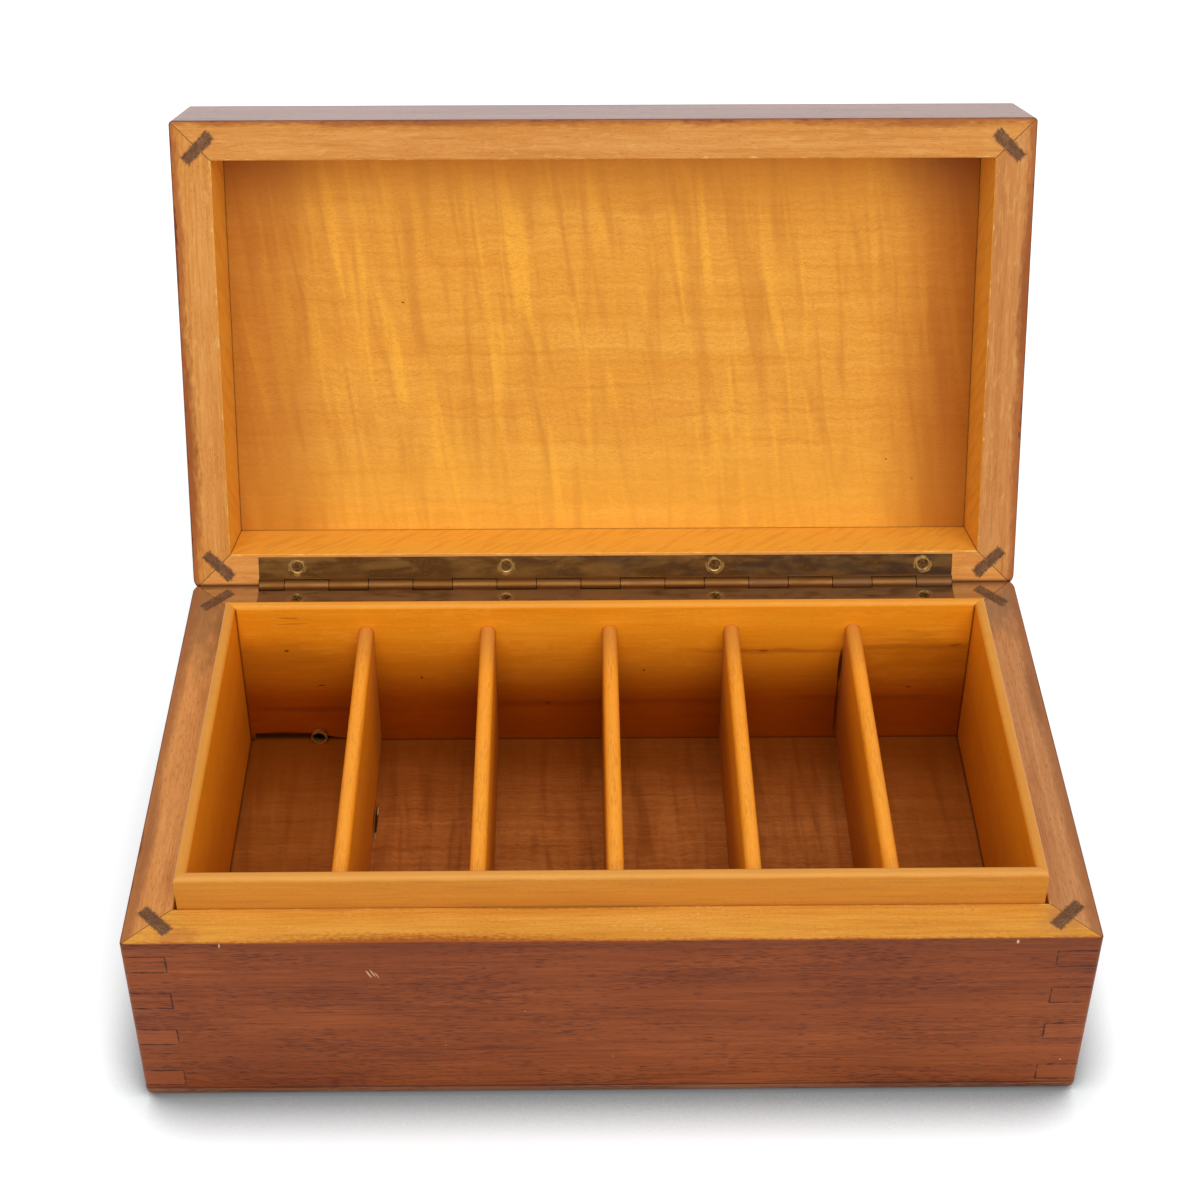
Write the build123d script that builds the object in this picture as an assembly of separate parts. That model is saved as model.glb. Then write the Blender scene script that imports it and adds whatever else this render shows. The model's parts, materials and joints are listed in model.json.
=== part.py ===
from build123d import *
import os
from math import cos, radians, sin

# A silverware chest with a hinged lid. Lengths are in millimetres.
# The chest stands on z = 0 and its front faces -Y. The origin is on the underside,
# in the middle of the case. The lid is modelled closed and then swung open about
# the hinge pin, so that it leans on the bevelled back edges that stop it.

# Case
outer_width = 400.0
outer_depth = 228.6
base_height = 98.0
base_wall = 19.05
front_corner_round = 2.0
back_corner_round = 6.0
bottom_board_thickness = 6.8
bottom_edge_round = 5.2
rim_edge_round = 0.6

# Raised floor
floor_height = 29.0
floor_board_thickness = 9.0
floor_side_gap = 0.4
bearer_width = 22.0
bearer_inset = 51.0

# Loose liner that stands proud of the rim and locates the closed lid
liner_thickness = 4.9
liner_proud = 17.1
liner_edge_round = 1.9
liner_front_gap = 0.4
liner_side_gap = 1.8
liner_back_gap = 14.4
filler_height = 14.0
filler_below_rim = 0.4

# Dividers between the compartments
divider_count = 5
divider_thickness = 7.0
left_compartment_width = 57.35
right_compartment_width = 53.35
divider_below_liner_top = 12.3
housing_depth = 2.0
housing_gap = 0.05

# Tapered relief and brass-lined notch in the foot of the back liner board
foot_relief_height = 5.0
foot_relief_start = 6.8
foot_relief_full = 34.2
foot_relief_end = 59.2
ferrule_outer_radius = 4.1
ferrule_wall = 1.1
ferrule_from_left = 38.9
ferrule_proud = 2.4
ferrule_gap = 0.1

# Lid
lid_height = 56.25
lid_wall = 18.5
lid_inside_depth = 37.2
lid_top_thickness = 7.0
lid_top_edge_round = 3.5
panel_side_gap = 0.2
rim_gap = 0.3
open_angle = 110.3
stop_gap = 0.1

# Mitre joints: a full-height tongue near the inside of each corner, and
# triangular keys let into the outside of it
tongue_length = 17.0
tongue_width = 4.2
tongue_inset = 12.7
tongue_gap = 0.05
key_leg = 17.7
key_height = 9.5
base_key_bottom_inset = 6.9
base_key_rim_inset = 12.2
base_key_spread = (0.0, 0.37, 0.69, 1.0)
lid_key_rim_inset = 12.5
lid_key_top_inset = 13.25
lid_key_spread = (0.0, 1.0)

# Continuous hinge
pin_inset = 2.4
pin_radius = 1.3
barrel_radius = 3.1
pin_running_gap = 0.05
leaf_thickness = 1.3
leaf_reach = 14.5
leaf_side_gap = 0.1
hinge_left_inset = 32.1
hinge_right_inset = 30.6
first_knuckle_length = 12.3
lower_knuckle_length = 21.66
upper_knuckle_length = 19.2
knuckle_end_gap = 0.4
barrel_gap = 0.3
leaf_notch_gap = 0.6

# Hinge screws
screw_count = 4
first_screw_inset = 18.65
last_screw_inset = 14.15
screw_from_pin = 9.4
screw_head_radius = 3.5
screw_shank_radius = 1.6
screw_length = 14.0
screw_point_length = 3.0
screw_point_radius = 0.4
screw_gap = 0.05
recess_length = 3.4
recess_width = 0.9
recess_depth = 0.9
recess_turns = (20.0, 65.0, 5.0, 40.0)

# Overshoot of cuts that run out of a face, and the largest rounding of the liner's
# edges as a share of its thickness
cut_overshoot = 5.0
liner_round_limit = 0.45

# Derived sizes
half_width = outer_width / 2
half_depth = outer_depth / 2
base_inside_x = half_width - base_wall
base_inside_y = half_depth - base_wall
lid_inside_x = half_width - lid_wall
lid_inside_y = half_depth - lid_wall
lid_rim_z = base_height + rim_gap
lid_top_z = lid_rim_z + lid_height
lid_walls_top_z = lid_top_z - lid_top_thickness
liner_top_z = base_height + liner_proud
liner_outer_x = base_inside_x - liner_side_gap
liner_front_y = -base_inside_y + liner_front_gap
liner_back_y = base_inside_y - liner_back_gap
liner_inside_x = liner_outer_x - liner_thickness
liner_inside_front_y = liner_front_y + liner_thickness
liner_inside_back_y = liner_back_y - liner_thickness
divider_top_z = liner_top_z - divider_below_liner_top
pin_y = half_depth - pin_inset
pin_z = base_height + rim_gap / 2
hinge_start = -half_width + hinge_left_inset
hinge_end = half_width - hinge_right_inset
leaf_free_y = pin_y - leaf_reach
screw_y = pin_y - screw_from_pin
ferrule_x = -liner_outer_x + ferrule_from_left
ferrule_z = floor_height + ferrule_outer_radius

sides = ("front", "right", "back", "left")
corners = ("front_left", "front_right", "back_right", "back_left")


def save(name, *solids):
    shape = solids[0] if len(solids) == 1 else Compound(children=list(solids))
    export_step(shape, f"parts/{name}.step")


def block(x_low, x_high, y_low, y_high, z_low, z_high):
    middle = Pos((x_low + x_high) / 2, (y_low + y_high) / 2, (z_low + z_high) / 2)
    return middle * Box(x_high - x_low, y_high - y_low, z_high - z_low)


def prism(points, z_low, z_high):
    outline = make_face(Polyline(*points, close=True))
    return Pos(0, 0, z_low) * extrude(outline, z_high - z_low, dir=(0, 0, 1))


def bar_along_x(points, x_low, x_high):
    # Bar with an outline given as (y, z) points
    outline = make_face(Polyline(*[(x_low, y, z) for y, z in points], close=True))
    return extrude(outline, x_high - x_low, dir=(1, 0, 0))


def rod_along_x(radius, x_low, x_high, y, z):
    return Pos((x_low + x_high) / 2, y, z) * Rot(0, 90, 0) * Cylinder(radius, x_high - x_low)


def rod_along_y(radius, x, y_low, y_high, z):
    return Pos(x, (y_low + y_high) / 2, z) * Rot(90, 0, 0) * Cylinder(radius, y_high - y_low)


# Case boards

def case_block(z_low, z_high):
    # Solid of the case's outline in plan, with its upright corners rounded
    solid = block(-half_width, half_width, -half_depth, half_depth, z_low, z_high)
    solid = fillet(solid.edges().filter_by(Axis.Z).group_by(Axis.Y)[0], front_corner_round)
    return fillet(solid.edges().filter_by(Axis.Z).group_by(Axis.Y)[-1], back_corner_round)


def rectangle_points(x_low, x_high, y_low, y_high):
    # Corners in the order of the names in corners
    return [(x_low, y_low), (x_high, y_low), (x_high, y_high), (x_low, y_high)]


def mitred_prism(side, outside, inside, z_low, z_high):
    # One side of a rectangular frame, cut at its mitres
    here = side
    after = (side + 1) % 4
    return prism([outside[here], outside[after], inside[after], inside[here]], z_low, z_high)


case_outside = rectangle_points(-half_width, half_width, -half_depth, half_depth)
base_inside = rectangle_points(-base_inside_x, base_inside_x, -base_inside_y, base_inside_y)
lid_inside = rectangle_points(-lid_inside_x, lid_inside_x, -lid_inside_y, lid_inside_y)


def inward(corner):
    # Direction in plan from an outside corner towards the middle of the case
    x, y = case_outside[corner]
    return (-1 if x > 0 else 1, -1 if y > 0 else 1)


def tongue(corner, z_low, z_high, gap=0.0):
    x, y = case_outside[corner]
    to_x, to_y = inward(corner)
    plan = SlotOverall(tongue_length + 2 * gap, tongue_width + 2 * gap)
    place = Pos(x + to_x * tongue_inset, y + to_y * tongue_inset, z_low)
    return place * Rot(0, 0, -45 * to_x * to_y) * extrude(plan, z_high - z_low, dir=(0, 0, 1))


def key_notch(corner, middle_z):
    x, y = case_outside[corner]
    to_x, to_y = inward(corner)
    plan = [(x, y), (x + to_x * key_leg, y), (x, y + to_y * key_leg)]
    return prism(plan, middle_z - key_height / 2, middle_z + key_height / 2)


def spread_levels(low, high, spread):
    return [low + (high - low) * share for share in spread]


def corner_keys(corner, levels):
    keys = []
    for level in levels:
        shell = case_block(level - key_height, level + key_height)
        keys.append((shell & key_notch(corner, level)).solid())
    return keys


def wall_ring(inside, z_low, z_high, rim):
    # All four walls in one, with rounded rim edges. rim is -1 where the rim is on
    # top, as in the base, and 0 where it is underneath, as in the lid
    ring = case_block(z_low, z_high) - prism(inside, z_low, z_high)
    return fillet(ring.edges().filter_by(Plane.XY).group_by(Axis.Z)[rim], rim_edge_round)


def case_board(ring, side, inside, z_low, z_high, key_levels):
    # One wall, cut from the ring at its mitres, ready for its tongues and keys
    board = ring & mitred_prism(side, case_outside, inside, z_low, z_high)
    for corner in (side, (side + 1) % 4):
        board -= tongue(corner, z_low, z_high, tongue_gap)
        for level in key_levels:
            board -= key_notch(corner, level)
    return board


base_key_levels = spread_levels(
    bottom_board_thickness + base_key_bottom_inset, base_height - base_key_rim_inset, base_key_spread
)
lid_key_levels = spread_levels(
    lid_rim_z + lid_key_rim_inset, lid_walls_top_z - lid_key_top_inset, lid_key_spread
)


# Cuts along the back edge, which let the hinge in and stop the lid

def stop_bevel(lift):
    # Wedge between the rim and the face that stops the lid. lift is -1 for the
    # base, whose wedge slopes down to the back, and +1 for the lid
    half_open = radians(open_angle / 2)
    reach = (pin_inset + cut_overshoot) / cos(half_open)
    shift_y = -stop_gap / 2 * sin(half_open)
    shift_z = lift * stop_gap / 2 * cos(half_open)
    start = (pin_y + shift_y, pin_z + shift_z)
    end = (start[0] + reach * cos(half_open), start[1] + lift * reach * sin(half_open))
    above = pin_z - lift * rim_gap
    return bar_along_x([start, end, (end[0], above), (start[0], above)], -half_width, half_width)


def barrel_groove():
    low = hinge_start - knuckle_end_gap
    high = hinge_end + knuckle_end_gap
    return rod_along_x(barrel_radius + barrel_gap, low, high, pin_y, pin_z)


def leaf_rebate(rim_z, lift):
    # Shallow seat for a leaf, cut into the rim from its free edge to the barrel
    low = hinge_start - leaf_side_gap
    high = hinge_end + leaf_side_gap
    depth = rim_z + lift * leaf_thickness
    return block(low, high, leaf_free_y - leaf_side_gap, pin_y, min(rim_z, depth), max(rim_z, depth))


# Hinge

def knuckle_spans():
    # Lists of (x_low, x_high) for the lower leaf's knuckles and the upper leaf's
    spans = {"lower": [], "upper": []}
    owner = "upper"
    length = first_knuckle_length
    x = hinge_start
    while x < hinge_end - knuckle_end_gap:
        end = min(x + length, hinge_end)
        if end - x > 2 * knuckle_end_gap:
            spans[owner].append((x + knuckle_end_gap / 2, end - knuckle_end_gap / 2))
        x = end
        owner = "lower" if owner == "upper" else "upper"
        length = lower_knuckle_length if owner == "lower" else upper_knuckle_length
    return spans


def even_places(first, last, count):
    return [first + (last - first) * number / (count - 1) for number in range(count)]


def screw_places():
    return even_places(hinge_start + first_screw_inset, hinge_end - last_screw_inset, screw_count)


def screw_form(gap=0.0):
    # Countersunk screw with its head's face at z = 0 and its point downwards
    head_depth = screw_head_radius - screw_shank_radius
    shank_length = screw_length - head_depth - screw_point_length
    head = Cone(screw_shank_radius + gap, screw_head_radius + gap, head_depth)
    shank = Cylinder(screw_shank_radius + gap, shank_length)
    point = Cone(screw_point_radius + gap, screw_shank_radius + gap, screw_point_length)
    form = Pos(0, 0, -head_depth / 2) * head
    form += Pos(0, 0, -head_depth - shank_length / 2) * shank
    return form + Pos(0, 0, -screw_length + screw_point_length / 2) * point


def recessed_screw(turn):
    slot = Pos(0, 0, -recess_depth / 2) * Box(recess_length, recess_width, recess_depth)
    cross = slot + Rot(0, 0, 90) * slot
    return screw_form() - Rot(0, 0, turn) * cross


def facing(lift):
    # Turns a form that points down into one that points up, for the lid
    return Rot(180, 0, 0) if lift > 0 else Rot(0, 0, 0)


def screw_holes(rim_z, lift):
    return [Pos(x, screw_y, rim_z) * facing(lift) * screw_form(screw_gap) for x in screw_places()]


def screws(rim_z, lift):
    made = []
    for number, x in enumerate(screw_places()):
        turn = recess_turns[number % len(recess_turns)]
        made.append((Pos(x, screw_y, rim_z) * facing(lift) * recessed_screw(turn)).solid())
    return made


def hinge_leaf(spans, rim_z, lift):
    # Plate with tabs that run into the rolled knuckles
    depth = rim_z + lift * leaf_thickness
    z_low = min(rim_z, depth)
    z_high = max(rim_z, depth)
    plate_edge = pin_y - barrel_radius - leaf_notch_gap
    leaf = block(hinge_start, hinge_end, leaf_free_y, plate_edge, z_low, z_high)
    for x_low, x_high in spans:
        leaf += block(x_low, x_high, plate_edge, pin_y, z_low, z_high)
        leaf += rod_along_x(barrel_radius, x_low, x_high, pin_y, pin_z)
    leaf -= rod_along_x(pin_radius + pin_running_gap, hinge_start, hinge_end, pin_y, pin_z)
    for hole in screw_holes(rim_z, lift):
        leaf -= hole
    return leaf


def hinge_cuts(board, rim_z, lift):
    board -= barrel_groove()
    board -= leaf_rebate(rim_z, lift)
    for hole in screw_holes(rim_z, lift):
        board -= hole
    return board


# Base

def bottom_board():
    board = case_block(0, bottom_board_thickness)
    return fillet(board.edges().group_by(Axis.Z)[0], bottom_edge_round)


def floor_parts():
    x = base_inside_x - floor_side_gap
    y = base_inside_y - floor_side_gap
    under = floor_height - floor_board_thickness
    save("floor_board", block(-x, x, -y, y, under, floor_height))
    end_bearer_x = base_inside_x - bearer_inset
    for name, middle in (("left", -end_bearer_x), ("middle", 0), ("right", end_bearer_x)):
        low = middle - bearer_width / 2
        save(f"floor_bearer_{name}", block(low, low + bearer_width, -y, y, bottom_board_thickness, under))


def base_parts():
    save("bottom_board", bottom_board())
    low = bottom_board_thickness
    ring = wall_ring(base_inside, low, base_height, -1)
    for side, name in enumerate(sides):
        board = case_board(ring, side, base_inside, low, base_height, base_key_levels)
        if name != "front":
            board -= stop_bevel(-1)
        if name == "back":
            board = hinge_cuts(board, base_height, -1)
        save(f"base_{name}_board", board.solid())
    for corner, name in enumerate(corners):
        save(f"base_tongue_{name}", tongue(corner, low, base_height))
        save(f"base_corner_keys_{name}", *corner_keys(corner, base_key_levels))


# Liner and dividers

liner_outside = rectangle_points(-liner_outer_x, liner_outer_x, liner_front_y, liner_back_y)
liner_inside = rectangle_points(
    -liner_inside_x, liner_inside_x, liner_inside_front_y, liner_inside_back_y
)


def divider_form(x, y_low, y_high, gap=0.0):
    # Upright board with a half-round top
    half = divider_thickness / 2 + gap
    shoulder = divider_top_z - divider_thickness / 2
    form = block(x - half, x + half, y_low, y_high, floor_height - gap, shoulder)
    return form + rod_along_y(half, x, y_low, y_high, shoulder)


def divider_places():
    first = -liner_inside_x + left_compartment_width + divider_thickness / 2
    last = liner_inside_x - right_compartment_width - divider_thickness / 2
    return even_places(first, last, divider_count)


def liner_ring():
    outer = prism(liner_outside, floor_height, liner_top_z)
    ring = outer - prism(liner_inside, floor_height, liner_top_z)
    round_size = min(liner_edge_round, liner_round_limit * liner_thickness)
    return fillet(ring.edges().group_by(Axis.Z)[-1], round_size)


def foot_relief():
    left = -liner_outer_x
    shape = [
        (left + foot_relief_start, floor_height),
        (left + foot_relief_start, floor_height + foot_relief_height),
        (left + foot_relief_full, floor_height + foot_relief_height),
        (left + foot_relief_end, floor_height),
    ]
    outline = make_face(Polyline(*[(x, liner_inside_back_y, z) for x, z in shape], close=True))
    return extrude(outline, liner_thickness, dir=(0, 1, 0))


def ferrule_notch():
    radius = ferrule_outer_radius + ferrule_gap
    low = liner_inside_back_y
    high = liner_back_y
    notch = rod_along_y(radius, ferrule_x, low, high, ferrule_z)
    return notch + block(ferrule_x - radius, ferrule_x + radius, low, high, floor_height, ferrule_z)


def liner_parts():
    ring = liner_ring()
    for divider_x in divider_places():
        reach_front = liner_inside_front_y - housing_depth
        reach_back = liner_inside_back_y + housing_depth
        ring -= divider_form(divider_x, reach_front, reach_back, housing_gap)
    ring -= foot_relief()
    ring -= ferrule_notch()
    for side, name in enumerate(sides):
        cut = mitred_prism(side, liner_outside, liner_inside, floor_height, liner_top_z)
        save(f"liner_{name}", (ring & cut).solid())


def divider_parts():
    y_low = liner_inside_front_y - housing_depth + housing_gap
    y_high = liner_inside_back_y + housing_depth - housing_gap
    for number, x in enumerate(divider_places()):
        save(f"divider_{number + 1}", divider_form(x, y_low, y_high))


def filler_strip():
    x = base_inside_x - floor_side_gap
    top = base_height - filler_below_rim
    return block(-x, x, liner_back_y, base_inside_y, top - filler_height, top)


def ferrule():
    low = liner_inside_back_y - ferrule_proud
    tube = rod_along_y(ferrule_outer_radius, ferrule_x, low, liner_back_y, ferrule_z)
    return tube - rod_along_y(ferrule_outer_radius - ferrule_wall, ferrule_x, low, liner_back_y, ferrule_z)


# Lid, modelled closed

def lid_top_board():
    board = case_block(lid_walls_top_z, lid_top_z)
    return fillet(board.edges().group_by(Axis.Z)[-1], lid_top_edge_round)


def lid_panel():
    x = lid_inside_x - panel_side_gap
    y = lid_inside_y - panel_side_gap
    return block(-x, x, -y, y, lid_rim_z + lid_inside_depth, lid_walls_top_z)


def swing_open(shape):
    return Pos(0, pin_y, pin_z) * Rot(-open_angle, 0, 0) * Pos(0, -pin_y, -pin_z) * shape


def save_open(name, *solids):
    save(name, *[swing_open(solid) for solid in solids])


def lid_parts():
    save_open("lid_top_board", lid_top_board())
    save_open("lid_inner_panel", lid_panel())
    ring = wall_ring(lid_inside, lid_rim_z, lid_walls_top_z, 0)
    for side, name in enumerate(sides):
        board = case_board(ring, side, lid_inside, lid_rim_z, lid_walls_top_z, lid_key_levels)
        if name != "front":
            board -= stop_bevel(1)
        if name == "back":
            board = hinge_cuts(board, lid_rim_z, 1)
        save_open(f"lid_{name}_board", board.solid())
    for corner, name in enumerate(corners):
        save_open(f"lid_tongue_{name}", tongue(corner, lid_rim_z, lid_walls_top_z))
        save_open(f"lid_corner_keys_{name}", *corner_keys(corner, lid_key_levels))


def hinge_parts():
    spans = knuckle_spans()
    save("hinge_lower_leaf", hinge_leaf(spans["lower"], base_height, -1).solid())
    save("hinge_pin", rod_along_x(pin_radius, hinge_start, hinge_end, pin_y, pin_z))
    save("hinge_lower_screws", *screws(base_height, -1))
    save_open("hinge_upper_leaf", hinge_leaf(spans["upper"], lid_rim_z, 1).solid())
    save_open("hinge_upper_screws", *screws(lid_rim_z, 1))


os.makedirs("parts", exist_ok=True)
base_parts()
floor_parts()
liner_parts()
divider_parts()
save("back_filler_strip", filler_strip())
save("liner_ferrule", ferrule())
lid_parts()
hinge_parts()
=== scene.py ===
import json
import math

import bpy
from mathutils import Matrix, Vector

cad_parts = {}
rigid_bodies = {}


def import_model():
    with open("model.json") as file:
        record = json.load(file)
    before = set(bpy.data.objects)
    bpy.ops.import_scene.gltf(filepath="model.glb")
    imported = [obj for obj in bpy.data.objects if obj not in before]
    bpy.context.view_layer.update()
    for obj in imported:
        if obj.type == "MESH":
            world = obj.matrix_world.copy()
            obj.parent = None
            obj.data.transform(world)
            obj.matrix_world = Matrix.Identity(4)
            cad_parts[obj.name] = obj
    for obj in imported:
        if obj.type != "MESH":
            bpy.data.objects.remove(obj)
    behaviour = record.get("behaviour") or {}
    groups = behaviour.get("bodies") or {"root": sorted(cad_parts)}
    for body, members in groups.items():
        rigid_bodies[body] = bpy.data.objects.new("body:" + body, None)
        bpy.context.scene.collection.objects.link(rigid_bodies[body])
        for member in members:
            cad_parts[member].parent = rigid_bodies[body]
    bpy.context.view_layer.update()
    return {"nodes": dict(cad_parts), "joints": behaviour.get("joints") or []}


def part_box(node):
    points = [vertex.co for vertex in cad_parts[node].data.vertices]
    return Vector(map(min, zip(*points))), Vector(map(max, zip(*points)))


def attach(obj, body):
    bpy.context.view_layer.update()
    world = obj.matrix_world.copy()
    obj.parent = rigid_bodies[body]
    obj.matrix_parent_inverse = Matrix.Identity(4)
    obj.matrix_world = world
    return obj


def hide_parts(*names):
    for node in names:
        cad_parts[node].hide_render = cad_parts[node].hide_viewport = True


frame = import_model()
nodes = frame["nodes"]
lidHinge = frame["joints"][0]
pinPoint = Vector(lidHinge["pos_m"])
openAngle = math.radians(lidHinge["range_deg"][1])  # the lid rests open: shutting turns it by this
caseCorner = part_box("bottom_board")[1]
perMetre = 1000  # patterns are worked out in millimetres
halfWidth = caseCorner.x * perMetre
halfDepth = caseCorner.y * perMetre
sceneObjects = bpy.context.scene.collection.objects
print("frame loaded:", len(nodes), "nodes")


def hexColour(code):  # sRGB hex to linear
    parts = [int(code[place:place + 2], 16) / 255 for place in (1, 3, 5)]
    return tuple(p / 12.92 if p <= 0.04045 else ((p + 0.055) / 1.055) ** 2.4 for p in parts) + (1.0,)


def add(tree, kind, inputs=(), **settings):
    # A node, its settings, and its inputs by name or in order: MapRange takes its value, where that
    # starts and ends, and what it gives there. Shader kinds go without their prefix
    node = tree.nodes.new(kind if "Node" in kind else f"ShaderNode{kind}")
    for name, value in settings.items():
        setattr(node, name, value)
    for key, value in inputs.items() if isinstance(inputs, dict) else enumerate(inputs):
        if isinstance(value, bpy.types.Node):
            value = value.outputs[0]
        if isinstance(value, bpy.types.NodeSocket):
            tree.links.new(value, node.inputs[key])
        else:
            node.inputs[key].default_value = value
    return node


softStep = {"interpolation_type": "SMOOTHSTEP"}
colourMix = {"data_type": "RGBA"}
plus, minus, times = ({"operation": name} for name in ("ADD", "SUBTRACT", "MULTIPLY"))
timesPlus, least, most, unsigned, length = (
    {"operation": name} for name in ("MULTIPLY_ADD", "MINIMUM", "MAXIMUM", "ABSOLUTE", "LENGTH"))
reliefDepth = 0.0002  # of every bump, in metres


def newMaterial(name):
    material = bpy.data.materials.new(name)
    material.use_nodes = True
    material.node_tree.nodes.clear()
    return material, material.node_tree


def boardSpace(tree, body, direction="X"):
    # Millimetres in the shut chest's frame, where the lid's patterns line up with its boards, and
    # the same space with a board's grain laid along X
    place = add(tree, "TexCoord").outputs["Object"]
    if body == "lid":
        place = add(tree, "VectorRotate", {
            "Vector": place, "Center": pinPoint, "Angle": openAngle}, rotation_type="X_AXIS")
    shut = add(tree, "VectorMath", {0: place, "Scale": perMetre}, operation="SCALE")
    turn = (0, 0, 0 if direction == "X" else -math.pi / 2)
    return shut, add(tree, "Mapping", {"Vector": shut, "Rotation": turn})


def bodyMaterial(name, body, direction="X"):
    # A material, its empty tree, and its body's space without and with the grain
    material, tree = newMaterial(name)
    return material, tree, *boardSpace(tree, body, direction)


def streaks(tree, grain, long, wide, detail=2, bend=0, shift=(0, 0, 0)):
    # Noise drawn out to so many millimetres along and across the grain
    scaled = add(tree, "Mapping", {
        "Vector": grain, "Scale": (1 / long, 1 / wide, 1 / wide), "Location": shift})
    return add(tree, "TexNoise", {
        "Vector": scaled, "Scale": 1.0, "Detail": detail, "Distortion": bend})


def roughen(tree, value, space, size, swing, detail, shift):
    # A value pushed to and fro by streaks, so that an edge drawn from it is ragged
    pattern = streaks(tree, space, *size, detail, 0, shift)
    return add(tree, "Math", [pattern, swing, value], **timesPlus)


def tintWhere(tree, colour, value, code, start, end, depth=1, blend="MIX"):
    # Another colour laid over the first, from nothing where value is start to depth where it is end
    cover = add(tree, "MapRange", [value, start, end, 0, depth], **softStep)
    mix = {0: cover, 6: colour, 7: hexColour(code)}
    return add(tree, "Mix", mix, blend_type=blend, **colourMix).outputs[2]


def apart(tree, first, second):
    # How far one value is from another
    gap = add(tree, "Math", [first, second], **minus)
    return add(tree, "Math", [gap], **unsigned)


def ovalReach(tree, shut, place, size, turn=(0, 0, 0)):
    # Distance from an oval's middle, 1 at its edge
    around = add(tree, "Mapping", [shut, place, turn, size], vector_type="TEXTURE")
    return add(tree, "VectorMath", [around], **length).outputs["Value"]


def addMark(tree, grain, colour, mark, within=None):
    # Pores, flecks, streaks or stains, where noise is above a level, gathered in patches. A tint is
    # always its colour, where it starts, where it is full and its depth there
    detail, bend, shift = mark.get("detail", 1), mark.get("bend", 0), mark["shift"]
    code, start, end, depth = mark["tint"]
    pattern = streaks(tree, grain, *mark["size"], detail, bend, shift)
    if "patch" in mark:
        pattern = roughen(tree, pattern, grain, mark["patch"], mark["swing"], 2, shift[::-1])
    rise = mark.get("swing", 0) / 2
    cover = add(tree, "MapRange", [pattern, start + rise, end + rise, 0, depth], **softStep)
    if within:
        cover = add(tree, "Math", [cover, within], **times)
    mix = {0: cover, 6: colour, 7: hexColour(code)}
    return add(tree, "Mix", mix, **colourMix).outputs[2], cover


def woodGrain(tree, grain, look):
    # Colour and surface height of planed wood: slow drift, ribbons and fibres, then its marks
    drift = streaks(tree, grain, *look["drift"])
    ribbon = streaks(tree, grain, *look["ribbon"], detail=4, shift=(7, 3, 5))
    fibre = streaks(tree, grain, *look["fibre"], detail=3, shift=(1, 9, 2))
    slow = add(tree, "Mix", {0: look["ribbonShare"], 2: drift, 3: ribbon})
    tone = add(tree, "Mix", {0: look["fibreShare"], 2: slow, 3: fibre})
    ramp = add(tree, "ValToRGB", {"Fac": tone})
    low, high = look["spread"]
    places = (low, (low + high) / 2, high)
    ramp.color_ramp.elements.new(places[1])
    for stop, place, code in zip(ramp.color_ramp.elements, places, look["tones"]):
        stop.position = place
        stop.color = hexColour(code)
    colour = ramp.outputs["Color"]
    height = fibre
    for mark in look["marks"]:
        colour, cover = addMark(tree, grain, colour, mark)
        if mark.get("sunk"):
            height = add(tree, "Math", [height, cover], **minus)
    return colour, height


def addJointShadeAndDirt(tree, shut, colour, seams, code="#4A220A"):
    # Painted shade with dirt and old varnish gathered in a joint: (axis, place, mirrored, reach in mm,
    # depth)
    split = add(tree, "SeparateXYZ", [shut])
    for axis, place, mirrored, reach, depth in seams:
        part = split.outputs[axis]
        if mirrored:
            part = add(tree, "Math", [part], **unsigned)
        colour = tintWhere(tree, colour, apart(tree, part, place), code, reach, 0, depth)
    return colour


spotCore = 0.55  # a spot is solid out to here
smudgeGrit = 1.2
smudgeEdge = (1.6, 0.75)  # where a smudge starts and where it is full


def rimSmudges(z, rows):
    # Smudges on a rim: x, y, half width, half depth, grit, colour and depth
    return [((x, y, z), (wide, deep, 20), *look) for x, y, wide, deep, *look in rows]


def facingSpots(y, deep, rows):
    # Spots on an upright face: x, z, half width, half height, tilt, colour and depth
    return [((x, y, z), (wide, deep, tall), *look, (0, tilt, 0)) for x, z, wide, tall, tilt, *look in rows]


def addSpots(tree, shut, colour, spots):
    # Small knots, nicks and scratches, each an oval: place, half sizes, colour, depth and any turn
    for place, size, code, depth, *turn in spots:
        reach = ovalReach(tree, shut, place, size, *turn)
        colour = tintWhere(tree, colour, reach, code, 1, spotCore, depth)
    return colour


def addSmudges(tree, shut, grain, colour, smudges):
    # Wide stains with ragged edges: place, half sizes, grit along and across, colour and depth
    for place, size, grit, code, depth in smudges:
        reach = roughen(tree, ovalReach(tree, shut, place, size), grain, grit, smudgeGrit, 4, (1, 1, 9))
        colour = tintWhere(tree, colour, reach, code, *smudgeEdge, depth)
    return colour


def surface(tree, inputs, height=None, relief=0.0):
    # The surface that a material ends in, with the relief of a height
    if height:
        inputs["Normal"] = add(tree, "Bump", {
            "Height": height, "Strength": relief, "Distance": reliefDepth})
    add(tree, "OutputMaterial", [add(tree, "BsdfPrincipled", inputs)])


def varnish(tree, colour, height, finish, polish=0.0):
    # Varnished wood: a satin surface over the colour, with the grain telegraphing through
    surface(tree, {
        "Base Color": colour, "Roughness": finish["roughness"], "IOR": finish["ior"],
        "Specular IOR Level": finish["gloss"], "Coat Weight": polish,
        "Coat Roughness": finish["coatRoughness"]}, height, finish["relief"])


def dress(material, *names):
    for name in names:
        mesh = nodes[name].data
        mesh.materials.clear()
        mesh.materials.append(material)


satin = dict(relief=0.25, roughness=0.4, ior=1.5, gloss=0.12, coatRoughness=0.22)

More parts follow.
